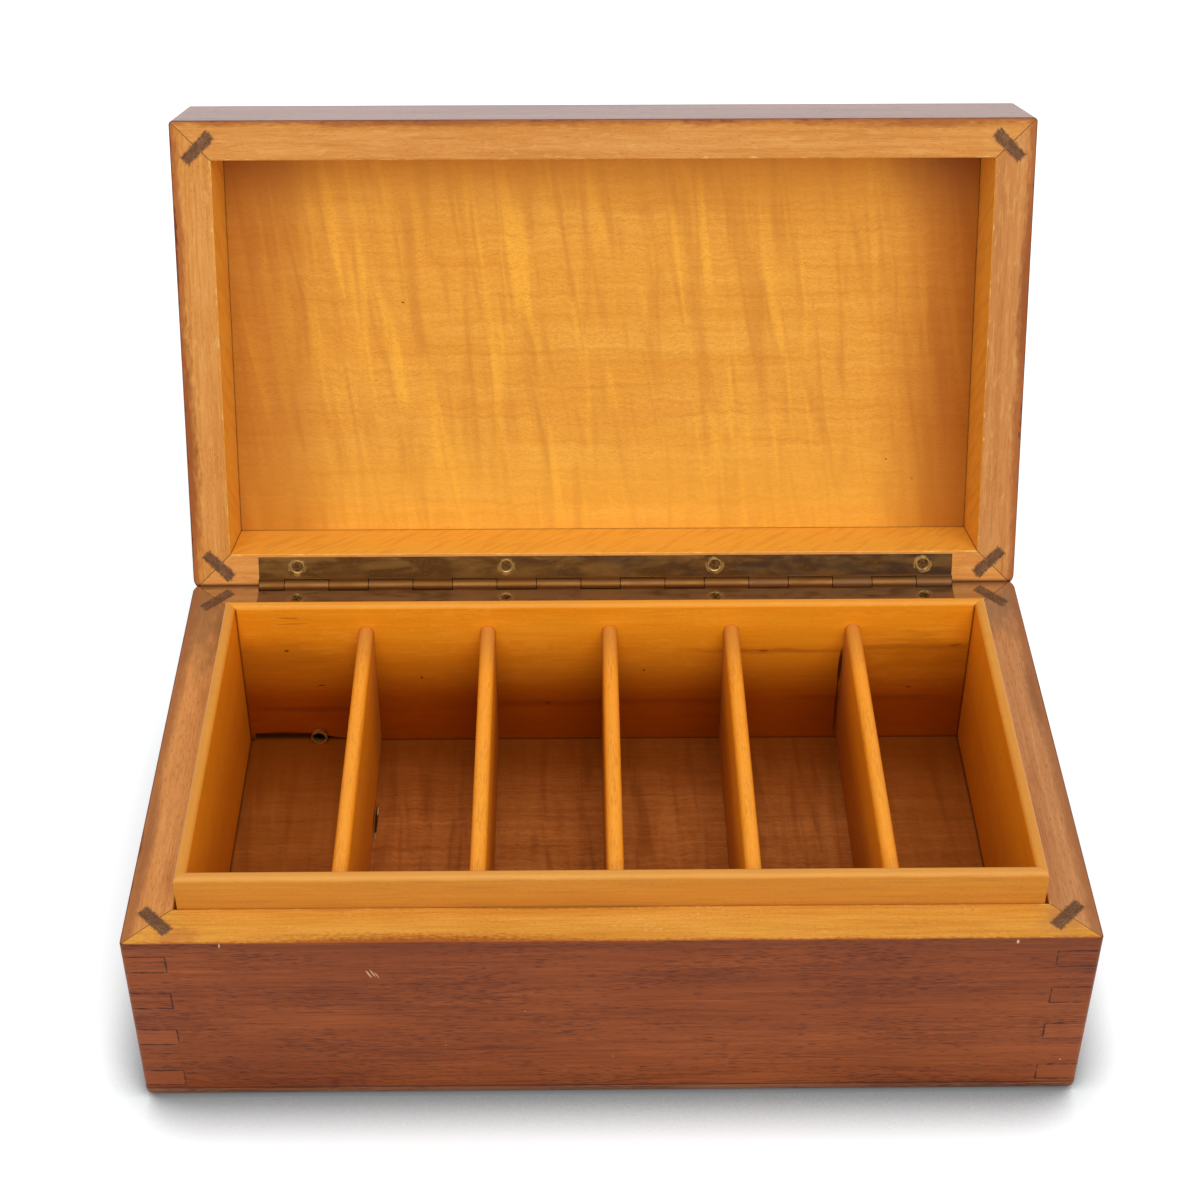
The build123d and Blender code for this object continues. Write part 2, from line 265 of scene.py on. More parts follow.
# Mahogany, planed, stained and varnished by hand: red-brown, with long grain lines and short dark pores
mahogany = dict(
    drift=(120, 30), ribbon=(70, 2.4), fibre=(26, 0.45),
    ribbonShare=0.5, fibreShare=0.38, spread=(0.34, 0.66),
    tones=("#703316", "#88431E", "#9E5328"),
    marks=[
        dict(size=(40, 17), tint=("#6A3424", 0.5, 0.9, 0.3), detail=3, shift=(2, 6, 1)),
        dict(size=(34, 0.8), patch=(80, 16), swing=0.5, tint=("#56220F", 0.56, 0.72, 0.5), detail=3,
             bend=0.5, shift=(9, 4, 4), sunk=True),
        dict(size=(5.5, 0.38), patch=(60, 15), swing=0.5, tint=("#4A1D12", 0.57, 0.67, 0.62),
             shift=(4, 4, 1), sunk=True),
    ],
)
# Light hardwood, planed and turned golden by old varnish: fine straight fibres and small flecks
goldenWood = dict(
    drift=(110, 16), ribbon=(60, 2.2), fibre=(16, 0.42),
    ribbonShare=0.5, fibreShare=0.32, spread=(0.33, 0.67),
    tones=("#C77F2B", "#D99438", "#E8A94A"),
    marks=[
        dict(size=(34, 1.4), patch=(90, 20), swing=0.4, tint=("#B36A22", 0.58, 0.76, 0.4), detail=2,
             bend=0.3, shift=(3, 7, 5)),
        dict(size=(2.2, 0.4), patch=(36, 12), swing=0.3, tint=("#A8601F", 0.58, 0.68, 0.36),
             shift=(4, 4, 1)),
    ],
)
# The same wood on the rims: handled more, so browner and more stained
rimStains = [
    dict(size=(22, 8), tint=("#A86230", 0.5, 0.75, 0.42), detail=4, shift=(1, 5, 2)),
    dict(size=(4.5, 0.5), tint=("#8E5428", 0.56, 0.68, 0.4), shift=(4, 4, 1)),
]
leftRim = dict(goldenWood, tones=("#BC783C", "#D08A48", "#DE9C5C"), marks=rimStains)
rightRim = dict(goldenWood, tones=("#AE7244", "#C48854", "#D49866"), marks=rimStains)
backRim = dict(goldenWood, tones=("#9C6836", "#B07842", "#C28A50"), marks=rimStains)
lidFlecks = goldenWood["marks"] + [
    dict(size=(12, 3), tint=("#E8B468", 0.48, 0.78, 0.35), detail=3, bend=1.2, shift=(6, 6, 3)),
]
lidRim = dict(goldenWood, tones=("#BA762E", "#CE8840", "#DE9E56"), marks=lidFlecks)
# Soft slanting bands of curl on the lid's inner faces
wallCurl = dict(size=(26, 3), tint=("#D48A2C", 0.46, 0.66, 0.4), detail=1, bend=0.4, shift=(2, 4, 4))
wallThickness = {"base": 19.05, "lid": 18.5}
# Where the bottom and the top board meet the sides
flatJoint = dict(base=6.8, lid=147.55, colour="#38180F")
cornerRounds = {"front": 2, "back": 6}


def boardEdges(tree, shut):
    # Millimetres in from the nearest end and side of the case, and from its rounded outline
    away = add(tree, "VectorMath", [shut], **unsigned)
    x, y = add(tree, "SeparateXYZ", [away]).outputs[:2]
    fromEnd = add(tree, "Math", [halfWidth, x], **minus)
    fromSide = add(tree, "Math", [halfDepth, y], **minus)
    y = add(tree, "SeparateXYZ", [shut]).outputs["Y"]
    behind = add(tree, "Math", [y, 0], operation="GREATER_THAN")
    front, back = cornerRounds["front"], cornerRounds["back"]
    radius = add(tree, "Math", [behind, back - front, front], **timesPlus)
    endPast = add(tree, "Math", [radius, fromEnd], **minus)
    sidePast = add(tree, "Math", [radius, fromSide], **minus)
    past = add(tree, "CombineXYZ", [endPast, sidePast])
    past = add(tree, "VectorMath", [past, (0, 0, 0)], **most)
    corner = add(tree, "VectorMath", [past], **length).outputs["Value"]
    side = add(tree, "Math", [endPast, sidePast], **most)
    side = add(tree, "Math", [side, 0], **least)
    inward = add(tree, "Math", [radius, corner], **minus)
    return fromEnd, fromSide, add(tree, "Math", [inward, side], **minus)


def shutLevels(name, body):
    # Heights of a node's points in the shut chest, in millimetres, from its own mesh
    shut = Matrix.Rotation(openAngle if body == "lid" else 0.0, 3, "X")
    return sorted({round(((shut @ (v.co - pinPoint)) + pinPoint).z * perMetre, 1)
                   for v in nodes[name].data.vertices})


# The joint round a corner key: how far it runs along each face, and its broken dark line. Here and
# below, a grit is the size, swing, detail and shift of the streaks that make an edge ragged
keyJoint = dict(reach=17.7, grit=((5, 5), 1.6, 3, (3, 1, 1)), tint=("#32150E", 1.35, 0.85, 0.85))


def keyOutlines(tree, shut, colour, body):
    # The thin dark joint all round each corner key, on the keys and on the boards they cross
    fromEnd, fromSide = boardEdges(tree, shut)[:2]
    run = add(tree, "Math", [fromEnd, fromSide], **plus)
    along = add(tree, "Math", [run, keyJoint["reach"]], **minus)
    z = add(tree, "SeparateXYZ", [shut]).outputs["Z"]
    levels = shutLevels(f"{body}_corner_keys_front_left", body)
    outline = None
    for low, high in zip(levels[::2], levels[1::2]):
        up = add(tree, "Math", [apart(tree, z, (low + high) / 2), (high - low) / 2], **minus)
        edge = add(tree, "Math", [up, along], **most)
        edge = add(tree, "Math", [edge], **unsigned)
        outline = add(tree, "Math", [outline, edge], **least) if outline else edge
    return tintWhere(tree, colour, roughen(tree, outline, shut, *keyJoint["grit"]), *keyJoint["tint"])


# Tongues of a dark wood let in across the mitres, end grain rubbed with old varnish: brown and fibrous,
# with soft ragged ends
tongueLook = dict(
    drift=(8, 4), ribbon=(2.4, 1), fibre=(1.2, 0.5), ribbonShare=0.5, fibreShare=0.45,
    spread=(0.36, 0.64), tones=("#3E281C", "#5E402E", "#86644A"), marks=[],
)
tongueShape = dict(halves=(8.8, 2.9), grit=((1.4, 0.7), 3, 4, (2, 1, 6)), cover=(2.2, 0.6, 0, 0.9))
low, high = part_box("base_tongue_front_left")
tongueCentre = (halfWidth + halfDepth + (low.x + high.x + low.y + high.y) / 2 * perMetre) / math.sqrt(2)


def tongueCover(tree, shut):
    # A corner tongue's colour and height in its own space, and how far it covers the rim
    fromEnd, fromSide = boardEdges(tree, shut)[:2]
    half = math.sqrt(0.5)
    along = add(tree, "Math", [fromEnd, fromSide], **minus)
    along = add(tree, "Math", [along, half], **times)
    across = add(tree, "Math", [fromEnd, fromSide], **plus)
    across = add(tree, "Math", [across, half, -tongueCentre], **timesPlus)
    z = add(tree, "SeparateXYZ", [shut]).outputs["Z"]
    own = add(tree, "CombineXYZ", [along, across, z])
    flat = add(tree, "CombineXYZ", [along, across])
    flat = add(tree, "VectorMath", [flat], **unsigned)
    past = add(tree, "VectorMath", [flat, (*tongueShape["halves"], 0)], **minus)
    past = add(tree, "SeparateXYZ", [past]).outputs
    outward = add(tree, "Math", past[:2], **most)
    outward = roughen(tree, outward, own, *tongueShape["grit"])
    cover = add(tree, "MapRange", [outward, *tongueShape["cover"]], **softStep)
    colour, height = woodGrain(tree, own, tongueLook)
    return colour, height, cover


lidPolish = 0.42  # the lid's outside keeps a smoother, glossier varnish than the base
# The outside boards darken towards the line where base and lid meet
meetingLineDarkening = ("Z", 98.1, False, 10, 0.35)  # round the line where base and lid meet
# Where painted shadow darkens the crease along the back edge, on the base and on the lid
backCreaseShadow = {"base": (halfDepth - 2.8, halfDepth - 1.2), "lid": (halfDepth - 4.4, halfDepth - 2.4)}
rimWear = dict(  # chipped inner edges, the faces inside, open mitres, the painted shadow in the back crease and where the stain ends
    chip="#F0C27C", chipGrit=((6, 1.4), 7, 4, (1, 7, 4)), chipEdge=(3.5, 4), chipDepth=0.6, inner="#F6B23A",
    innerEdge=(0.3, 0.1), innerDepth=0.85, curlSlant=0.95, mitre=("#42200E", 0.5, 0.1, 0.7),
    creaseShadow="#2C1008", creaseShadowDepth=0.9, spreadSize=(45, 40), darkEdge=(0.6, -0.8), darkDepth=0.85,
    stainEdge=(0.75, 0.25),
)


def caseBoardMaterial(name, body, direction, rimLook, bleed, spots, smudges):
    # Mahogany outside, golden wood on the rim and inside, the stain crept over the edge between them, and
    # painted shadow in the back crease
    material, tree, shut, grain = bodyMaterial(name, body, direction)
    outside, outsideHeight = woodGrain(tree, grain, mahogany)
    outside = keyOutlines(tree, shut, outside, body)
    bottomJoint = ("Z", flatJoint[body], False, 0.9, 0.7)
    outside = addJointShadeAndDirt(tree, shut, outside, [bottomJoint, meetingLineDarkening], flatJoint["colour"])
    rim, rimHeight = woodGrain(tree, grain, rimLook)
    fromEnd, fromSide, inward = boardEdges(tree, shut)
    wall = wallThickness[body]
    chip = roughen(tree, inward, grain, *rimWear["chipGrit"])
    start, end = (wall + past for past in rimWear["chipEdge"])
    rim = tintWhere(tree, rim, chip, rimWear["chip"], start, end, rimWear["chipDepth"])
    start, end = (wall - out for out in rimWear["innerEdge"])
    inner = add(tree, "MapRange", [inward, start, end, 0, rimWear["innerDepth"]], **softStep)
    rim = add(tree, "Mix", {0: inner, 6: rim, 7: hexColour(rimWear["inner"])}, **colourMix).outputs[2]
    slant = add(tree, "Mapping", {"Vector": grain, "Rotation": (0, rimWear["curlSlant"], 0)})
    rim = addMark(tree, slant, rim, wallCurl, inner)[0]
    rim = tintWhere(tree, rim, apart(tree, fromEnd, fromSide), *rimWear["mitre"])
    rim = addSmudges(tree, shut, grain, rim, smudges)
    wander = roughen(tree, inward, grain, bleed["size"], -bleed["creep"], 4, (6, 1, 3))
    wander = roughen(tree, wander, grain, rimWear["spreadSize"], -bleed["spread"], 3, (3, 3, 8))
    middle = bleed["width"] - (bleed["creep"] + bleed["spread"]) / 2
    rim = tintWhere(tree, rim, wander, bleed["colour"], middle + bleed["soft"], middle, bleed["depth"])
    start, end = (middle - bleed["width"] + past for past in rimWear["darkEdge"])
    rim = tintWhere(tree, rim, wander, bleed["edge"], start, end, rimWear["darkDepth"])
    y = add(tree, "SeparateXYZ", [shut]).outputs["Y"]
    # Painted shadow in the crease where the lid's back edge meets the base
    rim = tintWhere(tree, rim, y, rimWear["creaseShadow"], *backCreaseShadow[body], rimWear["creaseShadowDepth"])
    tongue, cover = tongueCover(tree, shut)[::2]
    rim = add(tree, "Mix", {0: cover, 6: rim, 7: tongue}, **colourMix).outputs[2]
    stain = add(tree, "MapRange", [inward, *rimWear["stainEdge"]], **softStep)
    colour = add(tree, "Mix", {0: stain, 6: rim, 7: outside}, **colourMix).outputs[2]
    colour = addSpots(tree, shut, colour, spots)
    height = add(tree, "Mix", {0: stain, 2: rimHeight, 3: outsideHeight})
    polish = 0.0 if body == "base" else add(tree, "Math", [stain, lidPolish], **times)
    varnish(tree, colour, height, satin, polish)
    return material


# Knocks and scratches through the stain on the front
frontNicks = facingSpots(-114.3, 3, [
    (-99.9, 79.3, 0.5, 3, -0.45, "#D9B08A", 0.7), (-98.3, 79.9, 0.4, 3, -0.45, "#D9B08A", 0.7),
    (-96.6, 78.6, 0.35, 2.4, -0.45, "#D9B08A", 0.55),
]) + facingSpots(-114.3, 2, [
    (-159.5, 97, 0.5, 1.3, 0, "#D0B088", 0.7), (165, 96.4, 0.7, 1.4, 0, "#D8BC98", 0.8),
    (191.5, 21.7, 0.5, 0.5, 0, "#C8A078", 0.7), (-69.9, 34, 0.4, 0.5, 0, "#B88458", 0.7),
    (-36.2, 55.5, 0.4, 0.5, 0, "#B88458", 0.7), (-52.5, 82.6, 0.5, 0.5, 0, "#2E140C", 0.8),
    (0.7, 25.9, 0.4, 0.5, 0, "#B88458", 0.6),
])
frontBleed = dict(size=(3, 1.4), creep=3.6, spread=3, width=0.6, soft=1.2, depth=0.75, colour="#A85A24",
                  edge="#7A3818")
sideBleed = dict(size=(6, 1.5), creep=3.4, spread=4, width=2, soft=4.5, depth=0.72, colour="#945A34",
                 edge="#5E3420")
# On the back boards the stain's dark edge is also painted shadow of the crease under the lid
backBleedAndShadow = dict(size=(6, 1.5), creep=2, spread=3, width=2.4, soft=3.5, depth=0.8, colour="#6E4226",
                 edge="#3A1A10")
lidBleed = dict(size=(5, 1.4), creep=4.4, spread=7, width=1.1, soft=3, depth=0.75, colour="#9A5226",
                edge="#5E240E")
lidBackBleedAndShadow = dict(size=(5, 1.4), creep=1.6, spread=1, width=0.9, soft=1.2, depth=0.7, colour="#8A4A22",
                    edge="#2E140A")
# Stain soaked into the front rim, and grey-brown marks of hands and lid on the side rims
frontSmudges = rimSmudges(98, [
    (-80, -115.4, 92, 8, (2.4, 1), "#8E3E16", 0.9),
    (-20, -95.6, 60, 1.6, (2.4, 1), "#A05A20", 0.7),
    (-178, -110, 16, 7, (5, 3), "#B86E34", 0.6),
    (186, -104, 16, 12, (5, 3), "#B4743C", 0.6),
])
sideSmudges = rimSmudges(98, [
    (-190, 98, 26, 60, (9, 4), "#7C5636", 0.65),
    (190, 96, 22, 30, (9, 4), "#705640", 0.55),
    (196, 30, 4, 40, (5, 2), "#6A4A34", 0.5),
    (-196, -60, 4, 50, (5, 2), "#8A5A36", 0.45),
])
lidSmudges = rimSmudges(98.3, [
    (-199, 40, 6.5, 90, (7, 2), "#7A3A16", 0.75),
    (198, -30, 4, 60, (7, 2), "#6A3014", 0.7),
    (150, -112, 52, 3, (7, 1.6), "#8A4A20", 0.6),
    (-80, -112.6, 60, 2.4, (7, 1.6), "#8A4A20", 0.5),
])
frontRim = dict(goldenWood, marks=goldenWood["marks"] + [  # small pale knocks through the varnish
    dict(size=(2.6, 1), patch=(30, 12), swing=0.5, tint=("#F6CC8C", 0.64, 0.74, 0.22), detail=2,
         shift=(7, 2, 2))])
boards = [  # body and side, grain, rim, stain that bleeds over it (with painted shadow on the back boards), knocks and smudges
    ("base", "front", "X", frontRim, frontBleed, frontNicks, frontSmudges),
    ("base", "back", "X", backRim, backBleedAndShadow, (), ()),
    ("base", "left", "Y", leftRim, sideBleed, (), sideSmudges),
    ("base", "right", "Y", rightRim, sideBleed, (), sideSmudges),
    ("lid", "front", "X", lidRim, dict(lidBleed, spread=5, width=0.6), (), lidSmudges),
    ("lid", "back", "X", dict(lidRim, tones=("#C67E34", "#DA9248", "#E8A65C")), lidBackBleedAndShadow, (), ()),
    ("lid", "left", "Y", lidRim, lidBleed, (), lidSmudges),
    ("lid", "right", "Y", dict(lidRim, tones=("#B4723A", "#C68448", "#D49658")),
     dict(lidBleed, width=1.6, soft=3.6), (), lidSmudges),
]
for body, side, direction, rim, bleed, spots, smudges in boards:
    name = f"{body}{side.capitalize()}BoardVarnish"
    dress(caseBoardMaterial(name, body, direction, rim, bleed, spots, smudges), f"{body}_{side}_board")
print("case boards finished")

keyTints = [("#A0542A", 58, 44, 0.4), ("#8A4420", 30, 18, 0.4)]  # colour, heights and depth


def mahoganyMaterial(name, body, look, isKey=False):
    # The same stained mahogany on the flat boards and the corner keys; the lower keys took less stain
    material, tree, shut, grain = bodyMaterial(name, body)
    colour, height = woodGrain(tree, grain, look)
    if isKey:
        z = add(tree, "SeparateXYZ", [shut]).outputs["Z"]
        for code, start, end, depth in keyTints:
            colour = tintWhere(tree, colour, z, code, start, end, depth)
        colour = keyOutlines(tree, shut, colour, body)
    else:
        joint = ("Z", flatJoint[body], False, 0.7, 0.7)
        colour = addJointShadeAndDirt(tree, shut, colour, [joint], flatJoint["colour"])
    varnish(tree, colour, height, satin, lidPolish if body == "lid" else 0.0)
    return material


def tongueMaterial(name, body, around):
    material, tree, shut = bodyMaterial(name, body)[:3]
    colour, height, cover = tongueCover(tree, shut)
    colour = add(tree, "Mix", {0: cover, 6: hexColour(around), 7: colour}, **colourMix).outputs[2]
    varnish(tree, colour, height, satin)
    return material


corners = ("front_left", "front_right", "back_right", "back_left")
bottomWood = dict(mahogany, tones=("#683E28", "#845238", "#9C6446"))
for body, flat, look, around in (("base", "bottom_board", bottomWood, "#BE7E42"),
                                 ("lid", "lid_top_board", mahogany, "#C68440")):
    dress(mahoganyMaterial(f"{body}FlatMahogany", body, look), flat)
    dress(mahoganyMaterial(f"{body}KeyMahogany", body, mahogany, isKey=True),
          *[f"{body}_corner_keys_{corner}" for corner in corners])
    dress(tongueMaterial(f"{body}TongueWood", body, around),
          *[f"{body}_tongue_{corner}" for corner in corners])
print("keys, tongues and flat boards finished")

# The lining: the same golden wood, with painted shade that makes it darker and redder the deeper it lies in
# the chest
lining = dict(
    wood=dict(goldenWood, tones=("#D58119", "#E79420", "#F4AA34")),
    top=115.1, floor=29, insideX=174.25, insideFront=-89.95, insideBack=75.95,
    insideColour="#FF9C14", deepShadeColour="#966822", outsideColour="#B07A40", topColour="#F0B05C",
    past=0.4, edge=0.3, share=0.5, deepFrom=9, deepTo=22, farther=("#BA7636", 36, 72, 0.6),
    topGrit=((14, 3), 2, 4, (2, 8, 1)), topEdge=(-1.4, 0.6),
)


def liningMaterial(name, direction, seams, spots=(), smudges=(), deepShade=1.0, figure=None, topDepth=0.35,
                   tall=lining["top"], worn=lining["topColour"], fleck=None):
    # Golden wood, glowing inside and brown outside, darkened towards the foot by painted shade, and rubbed
    # pale along the top
    material, tree, shut, grain = bodyMaterial(name, "base", direction)
    colour, height = woodGrain(tree, grain, lining["wood"])
    if figure:
        colour = addMark(tree, grain, colour, figure)[0]
    x, y, z = add(tree, "SeparateXYZ", [shut]).outputs
    past = lining["past"]
    wide = add(tree, "Math", [x], **unsigned)
    wide = add(tree, "Math", [lining["insideX"] + past, wide], **minus)
    front = add(tree, "Math", [y, lining["insideFront"] - past], **minus)
    back = add(tree, "Math", [lining["insideBack"] + past, y], **minus)
    inside = add(tree, "Math", [wide, front], **least)
    inside = add(tree, "Math", [inside, back], **least)
    inside = add(tree, "MapRange", [inside, 0, lining["edge"]], **softStep)
    outer, inner = (add(tree, "Mix", {
        0: lining["share"], 6: colour, 7: hexColour(code)}, **colourMix).outputs[2]
        for code in (lining["outsideColour"], lining["insideColour"]))
    start, end = tall - lining["deepFrom"], lining["floor"] + lining["deepTo"]
    # Painted shade: darker and redder from below the top down towards the floor
    inner = tintWhere(tree, inner, z, lining["deepShadeColour"], start, end, deepShade, "MULTIPLY")
    inner = addJointShadeAndDirt(tree, shut, inner, seams)
    colour = add(tree, "Mix", {0: inside, 6: outer, 7: inner}, **colourMix).outputs[2]
    top = roughen(tree, z, grain, *lining["topGrit"])
    start, end = (tall + past for past in lining["topEdge"])
    colour = tintWhere(tree, colour, top, worn, start, end, topDepth)
    if fleck:
        colour = addMark(tree, grain, colour, fleck)[0]
        colour = tintWhere(tree, colour, y, *lining["farther"])
    colour = addSmudges(tree, shut, grain, colour, smudges)
    colour = addSpots(tree, shut, colour, spots)
    varnish(tree, colour, height, satin)
    return material


# The lining's seams: painted shade with dirt in its corners and along its foot
footSeam = ("Z", lining["floor"], False, 1.5, 0.85)
endSeams = [("X", lining["insideX"], True, 1.2, 0.85), footSeam]
sideSeams = [("Y", lining[end], False, 0.8, 0.7) for end in ("insideFront", "insideBack")] + [footSeam]
flame = dict(size=(14, 5), patch=(50, 30), swing=0.4, tint=("#FFB040", 0.54, 0.7, 0.45), detail=3, bend=1.4,
             shift=(3, 2, 2))
sideCurl = dict(size=(5, 26), tint=("#C87E1E", 0.46, 0.76, 0.45), detail=2, bend=0.5, shift=(5, 2, 6))
dividerFleck = dict(size=(6, 0.45), patch=(30, 6), swing=0.4, tint=("#BE7426", 0.54, 0.66, 0.42), detail=2,
                    shift=(5, 3, 1))
# Pin knots and small streaks in the back board, a crack beside the last divider, and painted shade in the
# gap under its left end
backFace = 76
backKnots = facingSpots(backFace, 3, [
    (-152, 87.7, 1.5, 0.9, 0, "#5A2A0C", 0.8), (-150, 108.2, 7, 0.5, 0.05, "#A85C18", 0.6),
    (-148, 104.6, 9, 0.5, -0.04, "#B06420", 0.5), (-136.9, 65.5, 2.4, 0.6, 0, "#3E1A06", 0.7),
    (-88.4, 70.3, 0.9, 0.8, 0, "#4A2008", 0.8), (18.6, 74.2, 0.7, 0.7, 0, "#3A1606", 0.85),
    (-27.6, 53.2, 1.8, 0.8, 0, "#3E1A06", 0.7), (75.6, 86.1, 3, 0.9, 0, "#8A4414", 0.75),
    (167.2, 89, 4, 0.7, -0.15, "#8A4414", 0.7), (147.1, 62.3, 1.6, 0.7, 0, "#4A2008", 0.7),
    (112.9, 76, 1.1, 14, 0.02, "#2E1408", 0.9), (112.6, 50, 0.7, 22, 0, "#3A1808", 0.8),
    # painted shade in the gap under the board's left end
    (-157, 30, 21, 6, 0, "#240C04", 0.92),
])
backStreaks = [((x, backFace, z), (wide, 4, tall), *look) for x, z, wide, tall, *look in [
    (-140, 50, 40, 3, (12, 1.5), "#6E2C08", 0.55),
    (-30, 53, 50, 3.4, (14, 2), "#6E2C08", 0.55),
    (80, 86, 60, 2.4, (14, 1.5), "#A05014", 0.55),
    (30, 54, 60, 3, (14, 1.5), "#7A320A", 0.5),
    (148, 88, 40, 2.6, (12, 1.5), "#A05014", 0.5),
    (130, 55.5, 60, 3, (12, 1.5), "#7A320A", 0.55),
    (-156, 82, 50, 18, (20, 4), "#8A4000", 0.4),
    (156, 82, 50, 18, (20, 4), "#8A4000", 0.45),
]]
# Painted shade of a slot at the foot of the first divider, with two painted glints on its edge
footSlot = [((-109.9, 21, 30.5), (3, 13, 3.4), "#1E0A04", 0.85),
            ((-109.9, 27.5, 31.2), (3, 3.4, 0.7), "#E0B27A", 0.9, (0.3, 0, 0)),
            ((-109.9, 13.5, 30.6), (3, 2.6, 0.6), "#D09A5C", 0.85, (0.3, 0, 0))]
dividerTops = dict(tall=102.8, worn="#FBAE4C", topDepth=0.4, fleck=dividerFleck)
sideTops = dict(figure=sideCurl, worn="#E69E44")
linings = [  # name, grain, seams, settings and nodes
    ("frontLinerVarnish", "X", endSeams, {}, ["liner_front", "back_filler_strip"]),
    ("backLinerVarnish", "X", endSeams, dict(
        spots=backKnots, smudges=backStreaks, figure=flame, topDepth=0.5, worn="#FBA83A"), ["liner_back"]),
    ("leftLinerVarnish", "Y", sideSeams, dict(sideTops, deepShade=0.18), ["liner_left"]),
    ("rightLinerVarnish", "Y", sideSeams, dict(sideTops, deepShade=0.1), ["liner_right"]),
    ("dividerVarnish", "Y", sideSeams, dict(dividerTops, deepShade=0.6),
     [f"divider_{number}" for number in range(2, 6)]),
    ("firstDividerVarnish", "Y", sideSeams, dict(dividerTops, spots=footSlot, deepShade=0.1), ["divider_1"]),
    ("bearerWood", "Y", [], {}, [f"floor_bearer_{place}" for place in ("left", "middle", "right")]),
]
for name, direction, seams, settings, pieces in linings:
    dress(liningMaterial(name, direction, seams, **settings), *pieces)
print("lining finished")

# Curly maple, sliced, sanded and varnished clear: rippled fibres crossed by soft glowing bands
curl = dict(
    bandTilt=0.12, band=(10, 60), bandWander=1, fibreSwing=6, endSwing=14,
    shade=dict(size=(8, 80), tint=("#C67E2C", 0.42, 0.78, 0.56), detail=1.6, bend=0.8, shift=(8, 1, 2)),
    bright=dict(size=(7, 80), patch=(60, 80), swing=0.6, tint=("#FDB840", 0.52, 0.8, 0.66), detail=1.5,
                bend=0.5, shift=(3, 5, 9)),
    ripple=dict(size=(2.4, 0.62), tint=("#B87022", 0.42, 0.68, 0.36), detail=2, bend=1.6, shift=(2, 2, 7)),
    lines=dict(wander=((60, 26), 1.7, 0.7, (5, 2, 2)), spacing=7.5, width=0.34, gaps=(40, 9),
               seen=(0.3, 0.62), depth=0.12, colour="#B06A24"),
)


def curlyMaterial(name, body, wood, figure, seams, spots=(), ends=(), corners=(), finish=satin):
    # Curly maple with its bands, fibres and growth lines, then its tinted ends, painted shade in its
    # corners, painted shade and dirt in its seams, and spots
    material, tree, shut, grain = bodyMaterial(name, body)
    tilted = add(tree, "Mapping", {"Vector": grain, "Rotation": (0, 0, figure["bandTilt"])})
    band = streaks(tree, tilted, *figure["band"], detail=1.5, bend=figure["bandWander"])
    swing = add(tree, "Math", [band, figure["fibreSwing"]], **times)
    aside = add(tree, "CombineXYZ", {"Y": swing})
    swung = add(tree, "VectorMath", [grain, aside], **plus)  # fibres follow the bands
    colour, height = woodGrain(tree, swung, wood)
    for layer, space in (("shade", tilted), ("bright", tilted), ("ripple", swung)):
        colour, cover = addMark(tree, space, colour, figure[layer])
    height = add(tree, "Math", [height, cover], **minus)
    lines = figure["lines"]  # thin brown growth lines, wavering along the board, that come and go
    across = add(tree, "SeparateXYZ", [swung]).outputs["Y"]
    spaced = add(tree, "Math", [across, 1 / lines["spacing"]], **times)
    level = roughen(tree, spaced, swung, *lines["wander"])
    part = add(tree, "Math", [level, 1], operation="PINGPONG")
    line = add(tree, "MapRange", [part, lines["width"], 0], **softStep)
    gaps = streaks(tree, swung, *lines["gaps"], shift=(8, 8, 3))
    seen = add(tree, "Math", [gaps, line], **times)
    colour = tintWhere(tree, colour, seen, lines["colour"], *lines["seen"], lines["depth"])
    split = add(tree, "SeparateXYZ", [shut])
    middle = figure["endSwing"] / 2
    for axis, start, end, code, depth in ends:
        ragged = add(tree, "Math", [band, figure["endSwing"], split.outputs[axis]], **timesPlus)
        colour = tintWhere(tree, colour, ragged, code, start + middle, end + middle, depth)
    for place, size, code, depth in corners:
        colour = tintWhere(tree, colour, ovalReach(tree, shut, place, size), code, 1, 0, depth)
    colour = addJointShadeAndDirt(tree, shut, colour, seams)
    colour = addSpots(tree, shut, colour, spots)
    varnish(tree, colour, height, finish)
    return material


panelWood = dict(goldenWood, tones=("#DE942F", "#E8A13C", "#F0AE48"), fibreShare=0.2, marks=[])
# Tints at the panel's ends: the front end, at the top of the open lid, takes painted light against the
# shadow of the lid's front wall; the back end is lighter and the sides darker
panelEnds = [("Y", -56, -96, "#F0A63C", 0.6), ("Y", 30, 80, "#F6BD45", 0.32),
             ("X", -122, -160, "#A25718", 0.5), ("X", 127, 172, "#9E4F0E", 0.68)]
panelCornerShade = [  # painted shade from the lid's walls, with old varnish, darkens the far corners
    ((-183, -98, 135.5), (60, 50, 60), "#9A5820", 0.28),
    ((183, -98, 135.5), (62, 52, 60), "#784420", 0.4),
]
panelSpots = [
    ((-97.4, -20.7, 135.5), (0.9, 0.5, 3), "#4A2408", 0.8),
    ((140.9, 59.9, 135.5), (0.6, 0.6, 3), "#7A3C10", 0.7),
    ((154.2, 70.1, 135.5), (0.6, 0.5, 3), "#7A3C10", 0.7),
]
